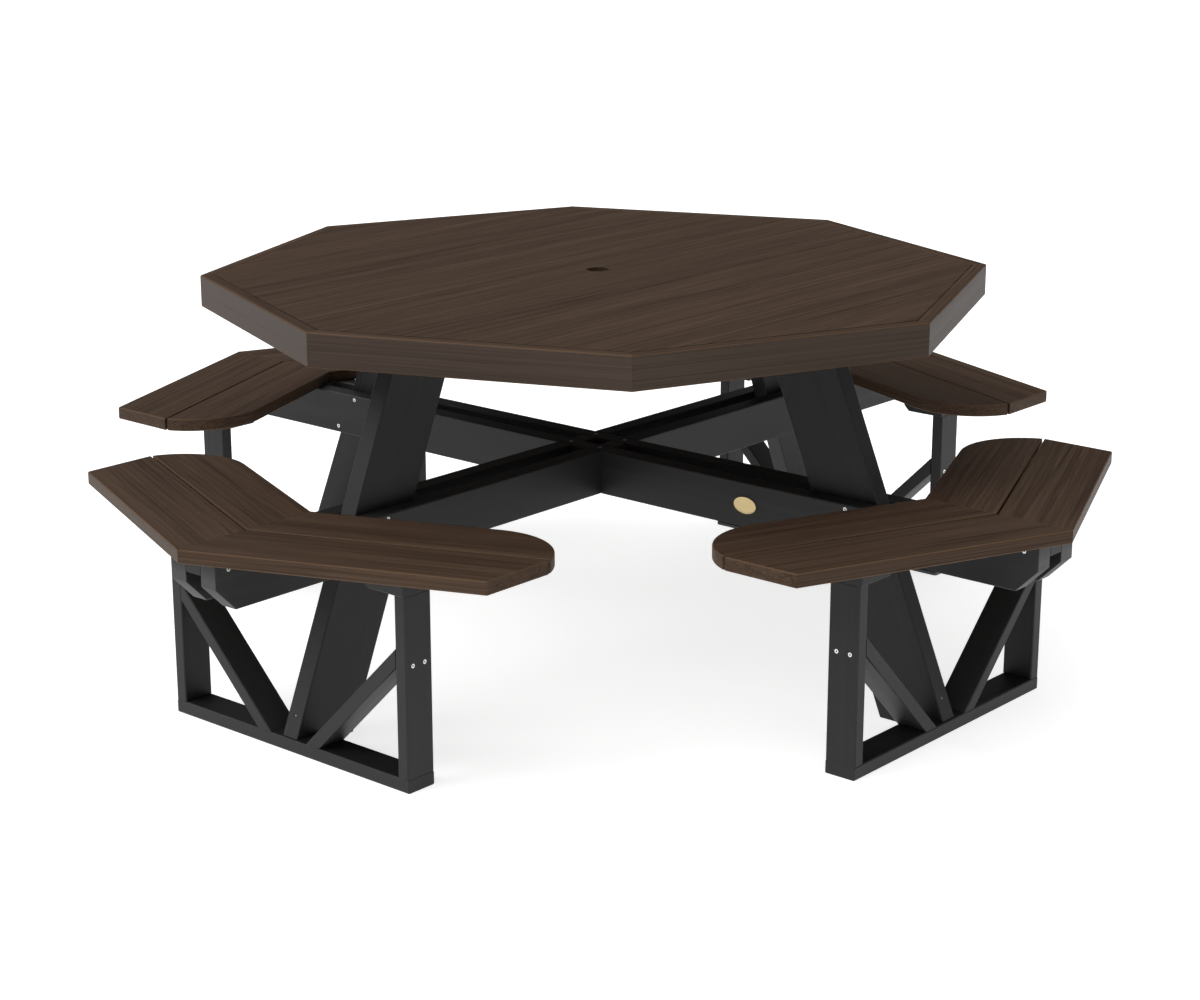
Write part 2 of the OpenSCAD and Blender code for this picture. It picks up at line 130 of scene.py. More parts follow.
class Wire:
    """An output of a node; sums and products of wires and numbers add Math nodes."""

    def __init__(self, net, socket):
        self.net, self.socket = net, socket

    def math(self, operation, a, b):
        return self.net.add("ShaderNodeMath", {"operation": operation}, {0: a, 1: b})

    def __add__(self, other):
        return self.math("ADD", self, other)

    def __sub__(self, other):
        return self.math("SUBTRACT", self, other)

    def __rsub__(self, other):
        return self.math("SUBTRACT", other, self)

    def __mul__(self, other):
        return self.math("MULTIPLY", self, other)

    def __truediv__(self, other):
        return self.math("DIVIDE", self, other)

    __radd__ = __add__
    __rmul__ = __mul__


class Net:
    """A node tree under construction; add() makes any node and gives its first live output."""

    def __init__(self, tree):
        self.tree = tree

    def add(self, kind, settings=None, sockets=None, output=None):
        node = self.tree.nodes.new(kind)
        for setting, value in (settings or {}).items():
            if setting == "stops":
                self.set_stops(node.color_ramp, value)
            else:
                setattr(node, setting, value)
        for key, value in (sockets or {}).items():
            for single in value if isinstance(value, list) else [value]:
                self.put(self.pick(node.inputs, key), single)
        return Wire(self, self.pick(node.outputs, output or 0)) if node.outputs else None

    def put(self, socket, value):
        if isinstance(value, Wire):
            self.tree.links.new(value.socket, socket)
        else:
            socket.default_value = value

    @staticmethod
    def set_stops(ramp, stops):
        while len(ramp.elements) < len(stops):
            ramp.elements.new(1)
        for element, (place, colour) in zip(ramp.elements, stops):
            element.position, element.color = place, (*colour, 1)

    @staticmethod
    def pick(sockets, key):
        live = [s for s in sockets if s.enabled]
        return live[key] if isinstance(key, int) else next(s for s in live if key in (s.name, s.identifier))


def new_finish(name):
    finish = bpy.data.materials.new(name)
    finish.use_nodes = True
    finish.node_tree.nodes.clear()
    return finish, Net(finish.node_tree)


def blend_colours(net, share, low, high, kind="MIX"):
    return net.add("ShaderNodeMix", {"data_type": "RGBA", "blend_type": kind},
                   {"Factor": share, "A": low, "B": high}, "Result")


def step(net, value, low, high):
    """0 below low, 1 above high, and smooth between them."""
    return net.add("ShaderNodeMapRange", {"interpolation_type": "SMOOTHSTEP"},
                   {"Value": value, "From Min": low, "From Max": high}, "Result")


def lumber_finish(name, deep, main, pale, eased, roughness, relief, gloss, painted_side_sheen=None):
    """Recycled-plastic lumber: soft bands and thin dark lines along the board, over a pressed-in fine grain."""
    finish, net = new_finish(name)
    grain = net.add("ShaderNodeAttribute", {"attribute_name": "grain"}, output="Vector")
    tone = net.add("ShaderNodeAttribute", {"attribute_name": "tone"}, output="Fac")

    def streaks(length, width, detail):
        stretched = net.add("ShaderNodeVectorMath", {"operation": "MULTIPLY"},
                            {0: grain, 1: (1 / length, 1 / width, 2.2 / width)})
        return net.add("ShaderNodeTexNoise", None, {"Vector": stretched, "Scale": 1.0, "Detail": detail,
                                                    "Roughness": 0.55})

    def thin_lines(length, spacing, share):
        """1 along thin lines about the spacing apart, each as wide as this share of it."""
        away = net.add("ShaderNodeMath", {"operation": "ABSOLUTE"}, {0: streaks(length, spacing, 0.0) - 0.5})
        return 1 - step(net, away, share * 0.3, share)

    broad = streaks(1.6, 0.035, 1.0)
    medium = streaks(0.8, 0.0075, 2.0)
    fine = streaks(0.18, 0.0034, 2.0)
    hairs = streaks(0.05, 0.0011, 1.0)
    body = broad * 0.24 + medium * 0.36 + fine * 0.40
    colour = net.add("ShaderNodeValToRGB", {"stops": [(0.34, deep), (0.50, main), (0.66, pale)]},
                     {"Fac": body}, "Color")
    lines = thin_lines(2.2, 0.020, 0.055) * 0.60 + thin_lines(0.9, 0.010, 0.06) * 0.35
    colour = blend_colours(net, lines * step(net, medium, 0.36, 0.60), colour, (*deep, 1))
    board_tone = net.add("ShaderNodeCombineColor", None,
                         {0: tone * 0.16 + 0.92, 1: tone * 0.15 + 0.925, 2: tone * 0.13 + 0.935})
    colour = blend_colours(net, 1.0, colour, board_tone, "MULTIPLY")
    upward = net.add("ShaderNodeTexCoord", output="Normal")
    upward = net.add("ShaderNodeSeparateXYZ", None, {0: upward}, "Z")
    upward = net.add("ShaderNodeMath", {"operation": "ABSOLUTE"}, {0: upward})
    # Painted sheen: upright side faces lose some streak contrast and are tinted greyer and a little lighter,
    # standing in for reflected light.
    if painted_side_sheen:
        sides = blend_colours(net, 0.45, colour, (*main, 1))
        sides = blend_colours(net, 1.0, sides, (*painted_side_sheen, 1), "MULTIPLY")
        colour = blend_colours(net, step(net, upward, 0.3, 0.9), sides, colour)
    # Painted highlight: faces of the rounded edges, leaning between flat and upright, are mixed towards the lighter
    # eased colour.
    painted_edge_highlight = step(net, upward, 0.12, 0.35) * (1 - step(net, upward, 0.93, 0.99))
    colour = blend_colours(net, painted_edge_highlight * 0.7, colour, (*eased, 1))
    surface = net.add("ShaderNodeBump", None, {
        "Strength": relief, "Distance": 0.0004,
        "Height": fine * 0.5 + hairs * 0.35 + medium * 0.4})
    shader = net.add("ShaderNodeBsdfPrincipled", None, {
        "Base Color": colour, "Roughness": roughness + (body - 0.5) * 0.35, "Normal": surface,
        "Specular IOR Level": gloss, "IOR": 1.5})
    net.add("ShaderNodeOutputMaterial", None, {"Surface": shader})
    return finish


# eased is a painted highlight colour for the rounded edges of the black boards.
black_lumber = lumber_finish(
    "black_lumber", deep=(0.0090, 0.0090, 0.0090), main=(0.0122, 0.0122, 0.0122), pale=(0.0172, 0.0172, 0.0172),
    eased=(0.034, 0.034, 0.034), roughness=0.50, relief=0.35, gloss=0.32)
luck = np.random.RandomState(11)


def lay_grain(bm):
    """Gives every board in the mesh its own length of grain: along, across and through it."""
    grain = bm.verts.layers.float_vector.new("grain")
    tone = bm.verts.layers.float.new("tone")
    bm.verts.ensure_lookup_table()
    waiting = set(bm.verts)
    while waiting:
        board, edge_of_work = set(), [min(waiting, key=lambda v: v.index)]
        while edge_of_work:
            v = edge_of_work.pop()
            if v not in board:
                board.add(v)
                edge_of_work += [e.other_vert(v) for e in v.link_edges]
        waiting -= board
        edges = {e for v in board for e in v.link_edges if e.calc_face_angle(0) > math.radians(3)}
        longest = max(edges, key=lambda e: (round(e.calc_length(), 5), -e.index))
        widest = max({f for v in board for f in v.link_faces}, key=lambda f: (round(f.calc_area(), 7), -f.index))
        along = (longest.verts[0].co - longest.verts[1].co).normalized()
        across = widest.normal.cross(along).normalized()
        through = along.cross(across)
        shift = Vector(luck.uniform(-9, 9, 3))
        shade = luck.uniform()
        for v in board:
            v[grain] = Vector((v.co.dot(along), v.co.dot(across), v.co.dot(through))) + shift
            v[tone] = shade


def finished(name, mesh, finish, ease=None, segments=2):
    """The mesh as a piece, with the weighted edges eased and its shading true to the flat faces."""
    mesh.materials.clear()
    mesh.materials.append(finish)
    piece = bpy.data.objects.new(name, mesh)
    bpy.context.scene.collection.objects.link(piece)
    if ease:
        rounding = piece.modifiers.new("ease", "BEVEL")
        rounding.limit_method, rounding.width, rounding.segments = "WEIGHT", ease, segments
        rounding.use_clamp_overlap = False
    mesh.polygons.foreach_set("use_smooth", [True] * len(mesh.polygons))
    shading = piece.modifiers.new("shading", "WEIGHTED_NORMAL")
    shading.keep_sharp = False
    return settle(piece)


def settle(piece):
    """The same piece as a plain mesh, with what its modifiers made and none left on it."""
    made = bpy.data.meshes.new_from_object(piece.evaluated_get(bpy.context.evaluated_depsgraph_get()))
    piece.modifiers.clear()
    piece.data = made
    made.name = piece.name
    return piece


def give(piece, slot, *nodes):
    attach(piece, "root")
    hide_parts(*nodes)


countersink_edge = math.radians(66)


def boards(name, nodes, ease, finish=black_lumber, slot="black_lumber"):
    """Boards of the CAD model with their screw holes; the saw-cut edges are eased, countersinks stay crisp."""
    whole = bmesh.new()
    for node in nodes:
        one = bmesh.new()
        one.from_mesh(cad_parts[node].data)
        bmesh.ops.remove_doubles(one, verts=one.verts, dist=1e-5)
        bmesh.ops.dissolve_limit(one, angle_limit=math.radians(0.5), verts=one.verts, edges=one.edges)
        one.normal_update()
        sharp = one.edges.layers.float.new("bevel_weight_edge")
        for e in one.edges:
            if e.calc_face_angle(0) > countersink_edge and e.is_convex:
                e[sharp] = 1
        lay_grain(one)
        mesh = bpy.data.meshes.new(node)
        one.to_mesh(mesh)
        one.free()
        whole.from_mesh(mesh)
        bpy.data.meshes.remove(mesh)
    mesh = bpy.data.meshes.new(name)
    whole.to_mesh(mesh)
    whole.free()
    piece = finished(name, mesh, finish, ease)
    give(piece, slot, *nodes)
    return piece


quarters = (1, 2, 3, 4)
boards("ground_rails", [f"ground_rail_{k}" for k in quarters], 0.0012)
boards("frame_uprights", [f"uprights_{k}" for k in quarters], 0.0008)
boards("frame_braces", [f"braces_{k}" for k in quarters], 0.0008)
boards("cleats", ["seat_cleats"], 0.0012)


# ---- Beams ----
# Two pairs of 38 x 89 mm black beams cross in halved laps under the table. Their ends are
# chamfered, a block joins each pair under a seat, and dark straps stiffen the undersides.
boards("beams", [f"beam_{k}" for k in quarters], 0.0012)
boards("end_blocks_between_beams", ["end_blocks"], 0.0010)

strap_finish, net = new_finish("dark_strap_steel")
place = net.add("ShaderNodeTexCoord", output="Object")
mottle = net.add("ShaderNodeTexNoise", None, {"Vector": place, "Scale": 220.0, "Detail": 3.0})
orange_peel = net.add("ShaderNodeTexNoise", None, {"Vector": place, "Scale": 900.0, "Detail": 1.0})
strap_colour = blend_colours(net, mottle, (0.010, 0.010, 0.010, 1), (0.017, 0.017, 0.017, 1))
strap_surface = net.add("ShaderNodeBump", None, {"Strength": 0.25, "Distance": 0.0003, "Height": orange_peel})
strap_shader = net.add("ShaderNodeBsdfPrincipled", None, {
    "Base Color": strap_colour, "Roughness": mottle * 0.15 + 0.32, "Normal": strap_surface})
net.add("ShaderNodeOutputMaterial", None, {"Surface": strap_shader})
boards("straps", ["beam_straps"], 0.0006, strap_finish, "strap_steel")


# ---- Legs ----
# Four wide black boards lean inwards at 22.5 degrees. Each stands on the ground behind its
# rail, laps over it, passes between a beam pair and is clamped by battens under the planks.
boards("leaning_legs", [f"leg_{k}" for k in quarters], 0.0012)


# ---- Battens ----
# Black 38 mm battens hold the planks together from below and clamp the tops of the legs. The
# apron hides them, and every plank has a screw up into it from each batten that it crosses.
boards("top_battens", ["long_battens", "cross_battens"], 0.0010)
boards("leg_top_cheeks", ["leg_cheeks"], 0.0010)


# ---- Planked top ----
# Eleven brown planks lie side by side, cut to an octagon. The middle one is bored for an
# umbrella pole, and the long edges are eased so that each seam shows as a fine line.
# eased is a painted warm highlight colour for the rounded edges of the brown boards.
brown = {"deep": (0.0285, 0.0160, 0.0100), "main": (0.0625, 0.0380, 0.0240), "pale": (0.0890, 0.0555, 0.0360),
         "eased": (0.108, 0.063, 0.035), "roughness": 0.50, "relief": 0.30, "gloss": 0.09}
brown_lumber = lumber_finish("brown_lumber", **brown)
flat_turn = math.radians(90)
half_side = math.radians(22.5)


def new_tree(name, sizes):
    """A Geometry Nodes tree with a geometry in and out and one named input for each size."""
    tree = bpy.data.node_groups.new(name, "GeometryNodeTree")
    tree.interface.new_socket("Geometry", in_out="INPUT", socket_type="NodeSocketGeometry")
    for size, kind in sizes:
        tree.interface.new_socket(size, in_out="INPUT", socket_type="NodeSocket" + kind)
    tree.interface.new_socket("Geometry", in_out="OUTPUT", socket_type="NodeSocketGeometry")
    net = Net(tree)
    source = tree.nodes.new("NodeGroupInput")
    return tree, net, {s.name: Wire(net, s) for s in source.outputs if s.name}


def run_tree(name, tree, values, mesh=None):
    """A piece made by the tree from these sizes, as a plain mesh."""
    piece = bpy.data.objects.new(name, mesh or bpy.data.meshes.new(name))
    bpy.context.scene.collection.objects.link(piece)
    maker = piece.modifiers.new("maker", "NODES")
    maker.node_group = tree
    for item in tree.interface.items_tree:
        if item.in_out == "INPUT" and item.name in values:
            maker[item.identifier] = values[item.name]
    return settle(piece)


def board_tree():
    """One board along X, centred, with its width along Y, standing on z = 0, its long edges eased."""
    tree, net, size = new_tree("board", [("Length", "Float"), ("Width", "Float"), ("Thickness", "Float"),
                                         ("Edge radius", "Float")])
    outline = net.add("GeometryNodeCurvePrimitiveQuadrilateral", None,
                      {"Width": size["Thickness"], "Height": size["Width"]})
    outline = net.add("GeometryNodeFilletCurve", {"mode": "POLY"},
                      {"Curve": outline, "Radius": size["Edge radius"], "Count": 4})
    end = net.add("GeometryNodeFillCurve", {"mode": "NGONS"}, {0: outline})
    out = net.add("ShaderNodeCombineXYZ", None, {"Z": size["Length"]})
    sides = net.add("GeometryNodeExtrudeMesh", {"mode": "FACES"},
                    {"Mesh": end, "Offset": out, "Individual": False})
    start = net.add("GeometryNodeFlipFaces", None, {0: end})
    solid = net.add("GeometryNodeJoinGeometry", None, {0: [sides, start]})
    solid = net.add("GeometryNodeMergeByDistance", None, {0: solid, "Distance": 0.00001})
    back = net.add("ShaderNodeCombineXYZ", None, {"X": size["Length"] * -0.5, "Z": size["Thickness"] * 0.5})
    solid = net.add("GeometryNodeTransform", None,
                    {"Geometry": solid, "Translation": back, "Rotation": (0, flat_turn, 0)})
    net.add("NodeGroupOutput", None, {0: solid})
    return tree


one_board = board_tree()


def grained(net, solid, along, across, through, number):
    """Stores the grain and the tone of each board, which its number picks."""
    place = net.add("ShaderNodeCombineXYZ", None, {"X": along, "Y": across, "Z": through})
    shift = net.add("FunctionNodeRandomValue", {"data_type": "FLOAT_VECTOR"},
                    {"Min": (-9, -9, -9), "Max": (9, 9, 9), "ID": number, "Seed": 5}, "Value")
    place = net.add("ShaderNodeVectorMath", {"operation": "ADD"}, {0: place, 1: shift})
    shade = net.add("FunctionNodeRandomValue", {"data_type": "FLOAT"},
                    {"Min": 0.0, "Max": 1.0, "ID": number, "Seed": 8}, "Value")
    solid = net.add("GeometryNodeStoreNamedAttribute", {"data_type": "FLOAT_VECTOR", "domain": "POINT"},
                    {"Geometry": solid, "Name": "grain", "Value": place})
    return net.add("GeometryNodeStoreNamedAttribute", {"data_type": "FLOAT", "domain": "POINT"},
                   {"Geometry": solid, "Name": "tone", "Value": shade})


def planks_tree():
    tree, net, size = new_tree("planks", [
        ("Planks", "Int"), ("Pitch", "Float"), ("Width", "Float"), ("Thickness", "Float"), ("Underside", "Float"),
        ("Corner radius", "Float"), ("Edge radius", "Float"), ("Pole hole", "Float"), ("Material", "Material")])
    first = net.add("ShaderNodeCombineXYZ", None, {"X": (size["Planks"] - 1) * size["Pitch"] * -0.5,
                                                   "Z": size["Underside"]})
    apart = net.add("ShaderNodeCombineXYZ", None, {"X": size["Pitch"]})
    places = net.add("GeometryNodeMeshLine", {"mode": "OFFSET"},
                     {"Count": size["Planks"], "Start Location": first, "Offset": apart})
    board = net.add("GeometryNodeGroup", {"node_tree": one_board}, {
        "Length": size["Corner radius"] * 2.2, "Width": size["Width"], "Thickness": size["Thickness"],
        "Edge radius": size["Edge radius"]})
    laid = net.add("GeometryNodeInstanceOnPoints", None,
                   {"Points": places, "Instance": board, "Rotation": (0, 0, flat_turn)})
    laid = net.add("GeometryNodeRealizeInstances", None, {0: laid})
    middle = net.add("ShaderNodeCombineXYZ", None, {"Z": size["Underside"]})

    def saw_line(sides, radius):
        round_saw = net.add("GeometryNodeMeshCylinder", None,
                            {"Vertices": sides, "Radius": radius, "Depth": size["Thickness"] * 6}, "Mesh")
        return net.add("GeometryNodeTransform", None, {"Geometry": round_saw, "Translation": middle})

    cut = net.add("GeometryNodeMeshBoolean", {"operation": "INTERSECT", "solver": "EXACT"},
                  {"Mesh 2": [laid, saw_line(8, size["Corner radius"])]})
    cut = net.add("GeometryNodeMeshBoolean", {"operation": "DIFFERENCE", "solver": "EXACT"},
                  {"Mesh 1": cut, "Mesh 2": [saw_line(64, size["Pole hole"] * 0.5)]})
    where = net.add("GeometryNodeInputPosition")
    x = net.add("ShaderNodeSeparateXYZ", None, {0: where}, "X")
    y = net.add("ShaderNodeSeparateXYZ", None, {0: where}, "Y")
    z = net.add("ShaderNodeSeparateXYZ", None, {0: where}, "Z")
    number = net.add("ShaderNodeMath", {"operation": "ROUND"}, {0: x / size["Pitch"]})
    cut = grained(net, cut, y, x - number * size["Pitch"], z, number + 20)
    cut = net.add("GeometryNodeSetMaterial", None, {"Geometry": cut, "Material": size["Material"]})
    net.add("NodeGroupOutput", None, {0: cut})
    return tree


middle_plank, next_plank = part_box("plank_6"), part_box("plank_7")
plank_width = middle_plank[1].x - middle_plank[0].x
pitch = (next_plank[0].x + next_plank[1].x) / 2
planks = run_tree("planks", planks_tree(), {
    "Planks": 11, "Pitch": pitch, "Width": plank_width, "Thickness": middle_plank[1].z - middle_plank[0].z,
    "Underside": middle_plank[0].z, "Corner radius": middle_plank[1].y, "Edge radius": 0.0012,
    "Pole hole": 0.04445, "Material": brown_lumber})
give(planks, "brown_lumber", *[f"plank_{i}" for i in range(1, 12)])


# ---- Apron ----
# Eight brown boards stand on edge round the planks, mitred at the corners of the octagon and
# flush with the top. They are 25 mm thick and 64 mm deep and hide the battens.
def apron_tree():
    tree, net, size = new_tree("apron", [
        ("Sides", "Int"), ("Outside", "Float"), ("Thickness", "Float"), ("Depth", "Float"), ("Underside", "Float"),
        ("Edge radius", "Float"), ("Mitre gap", "Float"), ("Material", "Material")])
    board = net.add("GeometryNodeGroup", {"node_tree": one_board}, {
        "Length": size["Outside"] * 0.5, "Width": size["Thickness"], "Thickness": size["Depth"],
        "Edge radius": size["Edge radius"]})
    out = net.add("ShaderNodeCombineXYZ", None, {"Y": size["Outside"] - size["Thickness"] * 0.5,
                                                 "Z": size["Underside"]})
    board = net.add("GeometryNodeTransform", None, {"Geometry": board, "Translation": out})
    where = net.add("GeometryNodeInputPosition")
    x = net.add("ShaderNodeSeparateXYZ", None, {0: where}, "X")
    y = net.add("ShaderNodeSeparateXYZ", None, {0: where}, "Y")
    z = net.add("ShaderNodeSeparateXYZ", None, {0: where}, "Z")
    side = net.add("ShaderNodeMath", {"operation": "SIGN"}, {0: x})
    mitred_x = side * (y * math.tan(half_side) - size["Mitre gap"])
    mitred = net.add("ShaderNodeCombineXYZ", None, {"X": mitred_x, "Y": y, "Z": z})
    board = net.add("GeometryNodeSetPosition", None, {"Geometry": board, "Position": mitred})
    board = net.add("GeometryNodeStoreNamedAttribute", {"data_type": "FLOAT_VECTOR", "domain": "POINT"},
                    {"Geometry": board, "Name": "on_board", "Value": where})
    ring = net.add("GeometryNodeMeshLine", {"mode": "OFFSET"}, {"Count": size["Sides"], "Offset": (0, 0, 0)})
    number = net.add("GeometryNodeInputIndex")
    turn = net.add("ShaderNodeCombineXYZ", None, {"Z": (number + 0.5) * (math.tau / 8)})
    ring = net.add("GeometryNodeInstanceOnPoints", None, {"Points": ring, "Instance": board, "Rotation": turn})
    ring = net.add("GeometryNodeStoreNamedAttribute", {"data_type": "INT", "domain": "INSTANCE"},
                   {"Geometry": ring, "Name": "number", "Value": number})
    ring = net.add("GeometryNodeRealizeInstances", None, {0: ring})
    on_board = net.add("GeometryNodeInputNamedAttribute", {"data_type": "FLOAT_VECTOR"}, {"Name": "on_board"},
                       "Attribute")
    numbered = net.add("GeometryNodeInputNamedAttribute", {"data_type": "INT"}, {"Name": "number"}, "Attribute")
    ring = grained(net, ring, *[net.add("ShaderNodeSeparateXYZ", None, {0: on_board}, axis) for axis in "XYZ"],
                   numbered + 40)
    for spare in ("on_board", "number"):
        ring = net.add("GeometryNodeRemoveAttribute", None, {"Geometry": ring, "Name": spare})
    ring = net.add("GeometryNodeSetMaterial", None, {"Geometry": ring, "Material": size["Material"]})
    net.add("NodeGroupOutput", None, {0: ring})
    return tree


# The apron's upright faces carry the painted greyish sheen.
apron_lumber = lumber_finish("apron_lumber", **brown, painted_side_sheen=(0.93, 1.08, 1.31))
apron_low, apron_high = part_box("apron_1")
apron_thickness = 0.0254
outside = (middle_plank[1].y + 0.0004) * math.cos(half_side) + apron_thickness
apron = run_tree("apron", apron_tree(), {
    "Sides": 8, "Outside": outside, "Thickness": apron_thickness, "Depth": apron_high.z - apron_low.z,
    "Underside": apron_low.z, "Edge radius": 0.003, "Mitre gap": 0.0001, "Material": apron_lumber})
give(apron, "brown_lumber", *[f"apron_{i}" for i in range(1, 9)])


# ---- Seats ----
# Each seat is two mitred pairs of 140 mm brown boards with a 4 mm gap between them. The outer
# boards are cut off square, the inner ones end in a quarter circle, and all edges are rounded.
seat_low, seat_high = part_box("seat_outer_boards_1")
seat_tip = 1.091
seat_half_width = seat_high.y
seat_board = 0.1397
seat_gap = 0.004
mitre_gap = 0.0002
seat_rounding = 0.003
gap_weight = 0.5
mitre_weight = 0.12


def on_seat(t, s):
    """The point t along a seat's outer edge from its tip and s in from that edge."""
    return Vector((seat_tip - t * math.sin(half_side) - s * math.cos(half_side),
                   t * math.cos(half_side) - s * math.sin(half_side)))


def at_width(y, s):
    """How far along the edge a line s in from it reaches the distance y from the centre line."""
    return (y + s * math.sin(half_side)) / math.cos(half_side)


def outer_outline():
    return [on_seat(at_width(y, s), s) for y, s in (
        (mitre_gap, 0), (seat_half_width, 0), (seat_half_width, seat_board), (mitre_gap, seat_board))]


def inner_outline():
    inset = seat_board + seat_gap
    arc_middle = at_width(seat_half_width, seat_board) - seat_board
    arc = [(arc_middle + seat_board * math.cos(a), inset + seat_board * math.sin(a))
           for a in np.linspace(0, math.pi / 2, 25)]
    far = inset + seat_board
    return [on_seat(at_width(mitre_gap, inset), inset)] + [on_seat(t, s) for t, s in arc] + \
           [on_seat(at_width(mitre_gap, far), far)]


def seat_boards(name, outline, gap_side, nodes):
    """The eight mirrored and turned boards of one outline; the side along the gap is only lightly eased."""
    bm = bmesh.new()
    sharp = bm.edges.layers.float.new("bevel_weight_edge")
    for k in range(4):
        turn = k * math.pi / 2
        for side in (1, -1):
            flat = [(p.x * math.cos(turn) - side * p.y * math.sin(turn),
                     p.x * math.sin(turn) + side * p.y * math.cos(turn)) for p in outline]
            low = [bm.verts.new((x, y, seat_low.z)) for x, y in flat]
            high = [bm.verts.new((x, y, seat_high.z)) for x, y in flat]
            bm.faces.new(high[::side])
            bm.faces.new(low[::-side])
            for i in range(len(flat)):
                j = (i + 1) % len(flat)
                bm.faces.new((low[i], low[j], high[j], high[i])[::side])
            for level in (low, high):
                bm.edges.get(level[gap_side:gap_side + 2])[sharp] = gap_weight
    bm.normal_update()
    for e in bm.edges:
        at_mitre = all(min(abs(v.co.x), abs(v.co.y)) < 2 * mitre_gap for v in e.verts)
        if e.calc_face_angle(0) > math.radians(15) and not e[sharp]:
            e[sharp] = mitre_weight if at_mitre else 1
    lay_grain(bm)
    mesh = bpy.data.meshes.new(name)
    bm.to_mesh(mesh)
    bm.free()
    piece = finished(name, mesh, brown_lumber, seat_rounding, 4)
    give(piece, "brown_lumber", *nodes)


seat_boards("outer_seat_boards", outer_outline(), 2, [f"seat_outer_boards_{k}" for k in quarters])
seat_boards("inner_seat_boards", inner_outline(), 0, [f"seat_inner_boards_{k}" for k in quarters])


# ---- Screws ----
# Stainless countersunk screws with a six-lobed socket hold everything together. They sit
# flush in their countersinks, in the beams, uprights and cleats and under the boards.
head_d = 0.008
head_h = 0.0032
shank_d = 0.0044


def screws_tree():
    tree, net, size = new_tree("countersunk_screws", [
        ("Head diameter", "Float"), ("Head height", "Float"), ("Shank diameter", "Float"), ("Material", "Material")])
    head = net.add("GeometryNodeMeshCone", {"fill_type": "NGON"}, {
        "Vertices": 24, "Radius Bottom": size["Head diameter"] * 0.5, "Radius Top": size["Shank diameter"] * 0.5,
        "Depth": size["Head height"]}, "Mesh")
    lobes = net.add("GeometryNodeCurveStar", None, {
        "Points": 6, "Inner Radius": size["Head diameter"] * 0.18, "Outer Radius": size["Head diameter"] * 0.26},
        "Curve")
    lobes = net.add("GeometryNodeFillCurve", {"mode": "NGONS"}, {0: lobes})
    deep = net.add("ShaderNodeCombineXYZ", None, {"Z": size["Head height"]})
    bit = net.add("GeometryNodeExtrudeMesh", {"mode": "FACES"}, {"Mesh": lobes, "Offset": deep, "Individual": False})
    bit = net.add("GeometryNodeJoinGeometry", None, {0: [bit, net.add("GeometryNodeFlipFaces", None, {0: lobes})]})
    bit = net.add("GeometryNodeMergeByDistance", None, {0: bit, "Distance": 0.00001})
    above = net.add("ShaderNodeCombineXYZ", None, {"Z": size["Head height"] * -0.45})
    bit = net.add("GeometryNodeTransform", None, {"Geometry": bit, "Translation": above})
    head = net.add("GeometryNodeMeshBoolean", {"operation": "DIFFERENCE", "solver": "EXACT"},
                   {"Mesh 1": head, "Mesh 2": [bit]})
    where = net.add("GeometryNodeInputPosition")
    depth = net.add("ShaderNodeSeparateXYZ", None, {0: where}, "Z") / (size["Head height"] * 0.4)
    flat = net.add("ShaderNodeVectorMath", {"operation": "MULTIPLY"}, {0: where, 1: (1, 1, 0)})
    aside = net.add("ShaderNodeVectorMath", {"operation": "LENGTH"}, {0: flat}, "Value")
    # Painted shade: inside the six-lobed socket a value rises towards the socket's bottom, which darkens the steel
    # there.
    in_socket = net.add("ShaderNodeMath", {"operation": "LESS_THAN"}, {0: aside, 1: size["Head diameter"] * 0.27})
    head = net.add("GeometryNodeStoreNamedAttribute", {"data_type": "FLOAT", "domain": "POINT"},
                   {"Geometry": head, "Name": "grime", "Value": in_socket * depth})
    shank = net.add("GeometryNodeMeshCone", {"fill_type": "NGON"}, {
        "Vertices": 10, "Radius Bottom": size["Shank diameter"] * 0.5, "Radius Top": size["Shank diameter"] * 0.2,
        "Depth": 1.0}, "Mesh")
    aim = net.add("GeometryNodeInputNamedAttribute", {"data_type": "FLOAT_VECTOR"}, {"Name": "aim"}, "Attribute")
    reach = net.add("GeometryNodeInputNamedAttribute", {"data_type": "FLOAT"}, {"Name": "reach"}, "Attribute")
    turned = net.add("FunctionNodeAlignRotationToVector", {"axis": "Z"}, {"Vector": aim})
    stretch = net.add("ShaderNodeCombineXYZ", None, {"X": 1.0, "Y": 1.0, "Z": reach - size["Head height"]})
    heads = net.add("GeometryNodeInstanceOnPoints", None,
                    {"Points": size["Geometry"], "Instance": head, "Rotation": turned})
    inward = net.add("ShaderNodeVectorMath", {"operation": "SCALE"}, {0: aim, "Scale": size["Head height"]})
    deeper = net.add("GeometryNodeSetPosition", None, {"Geometry": size["Geometry"], "Offset": inward})
    shanks = net.add("GeometryNodeInstanceOnPoints", None,
                     {"Points": deeper, "Instance": shank, "Rotation": turned, "Scale": stretch})
    both = net.add("GeometryNodeJoinGeometry", None, {0: [heads, shanks]})
    both = net.add("GeometryNodeRealizeInstances", None, {0: both})
    both = net.add("GeometryNodeSetMaterial", None, {"Geometry": both, "Material": size["Material"]})
    net.add("NodeGroupOutput", None, {0: both})
    return tree


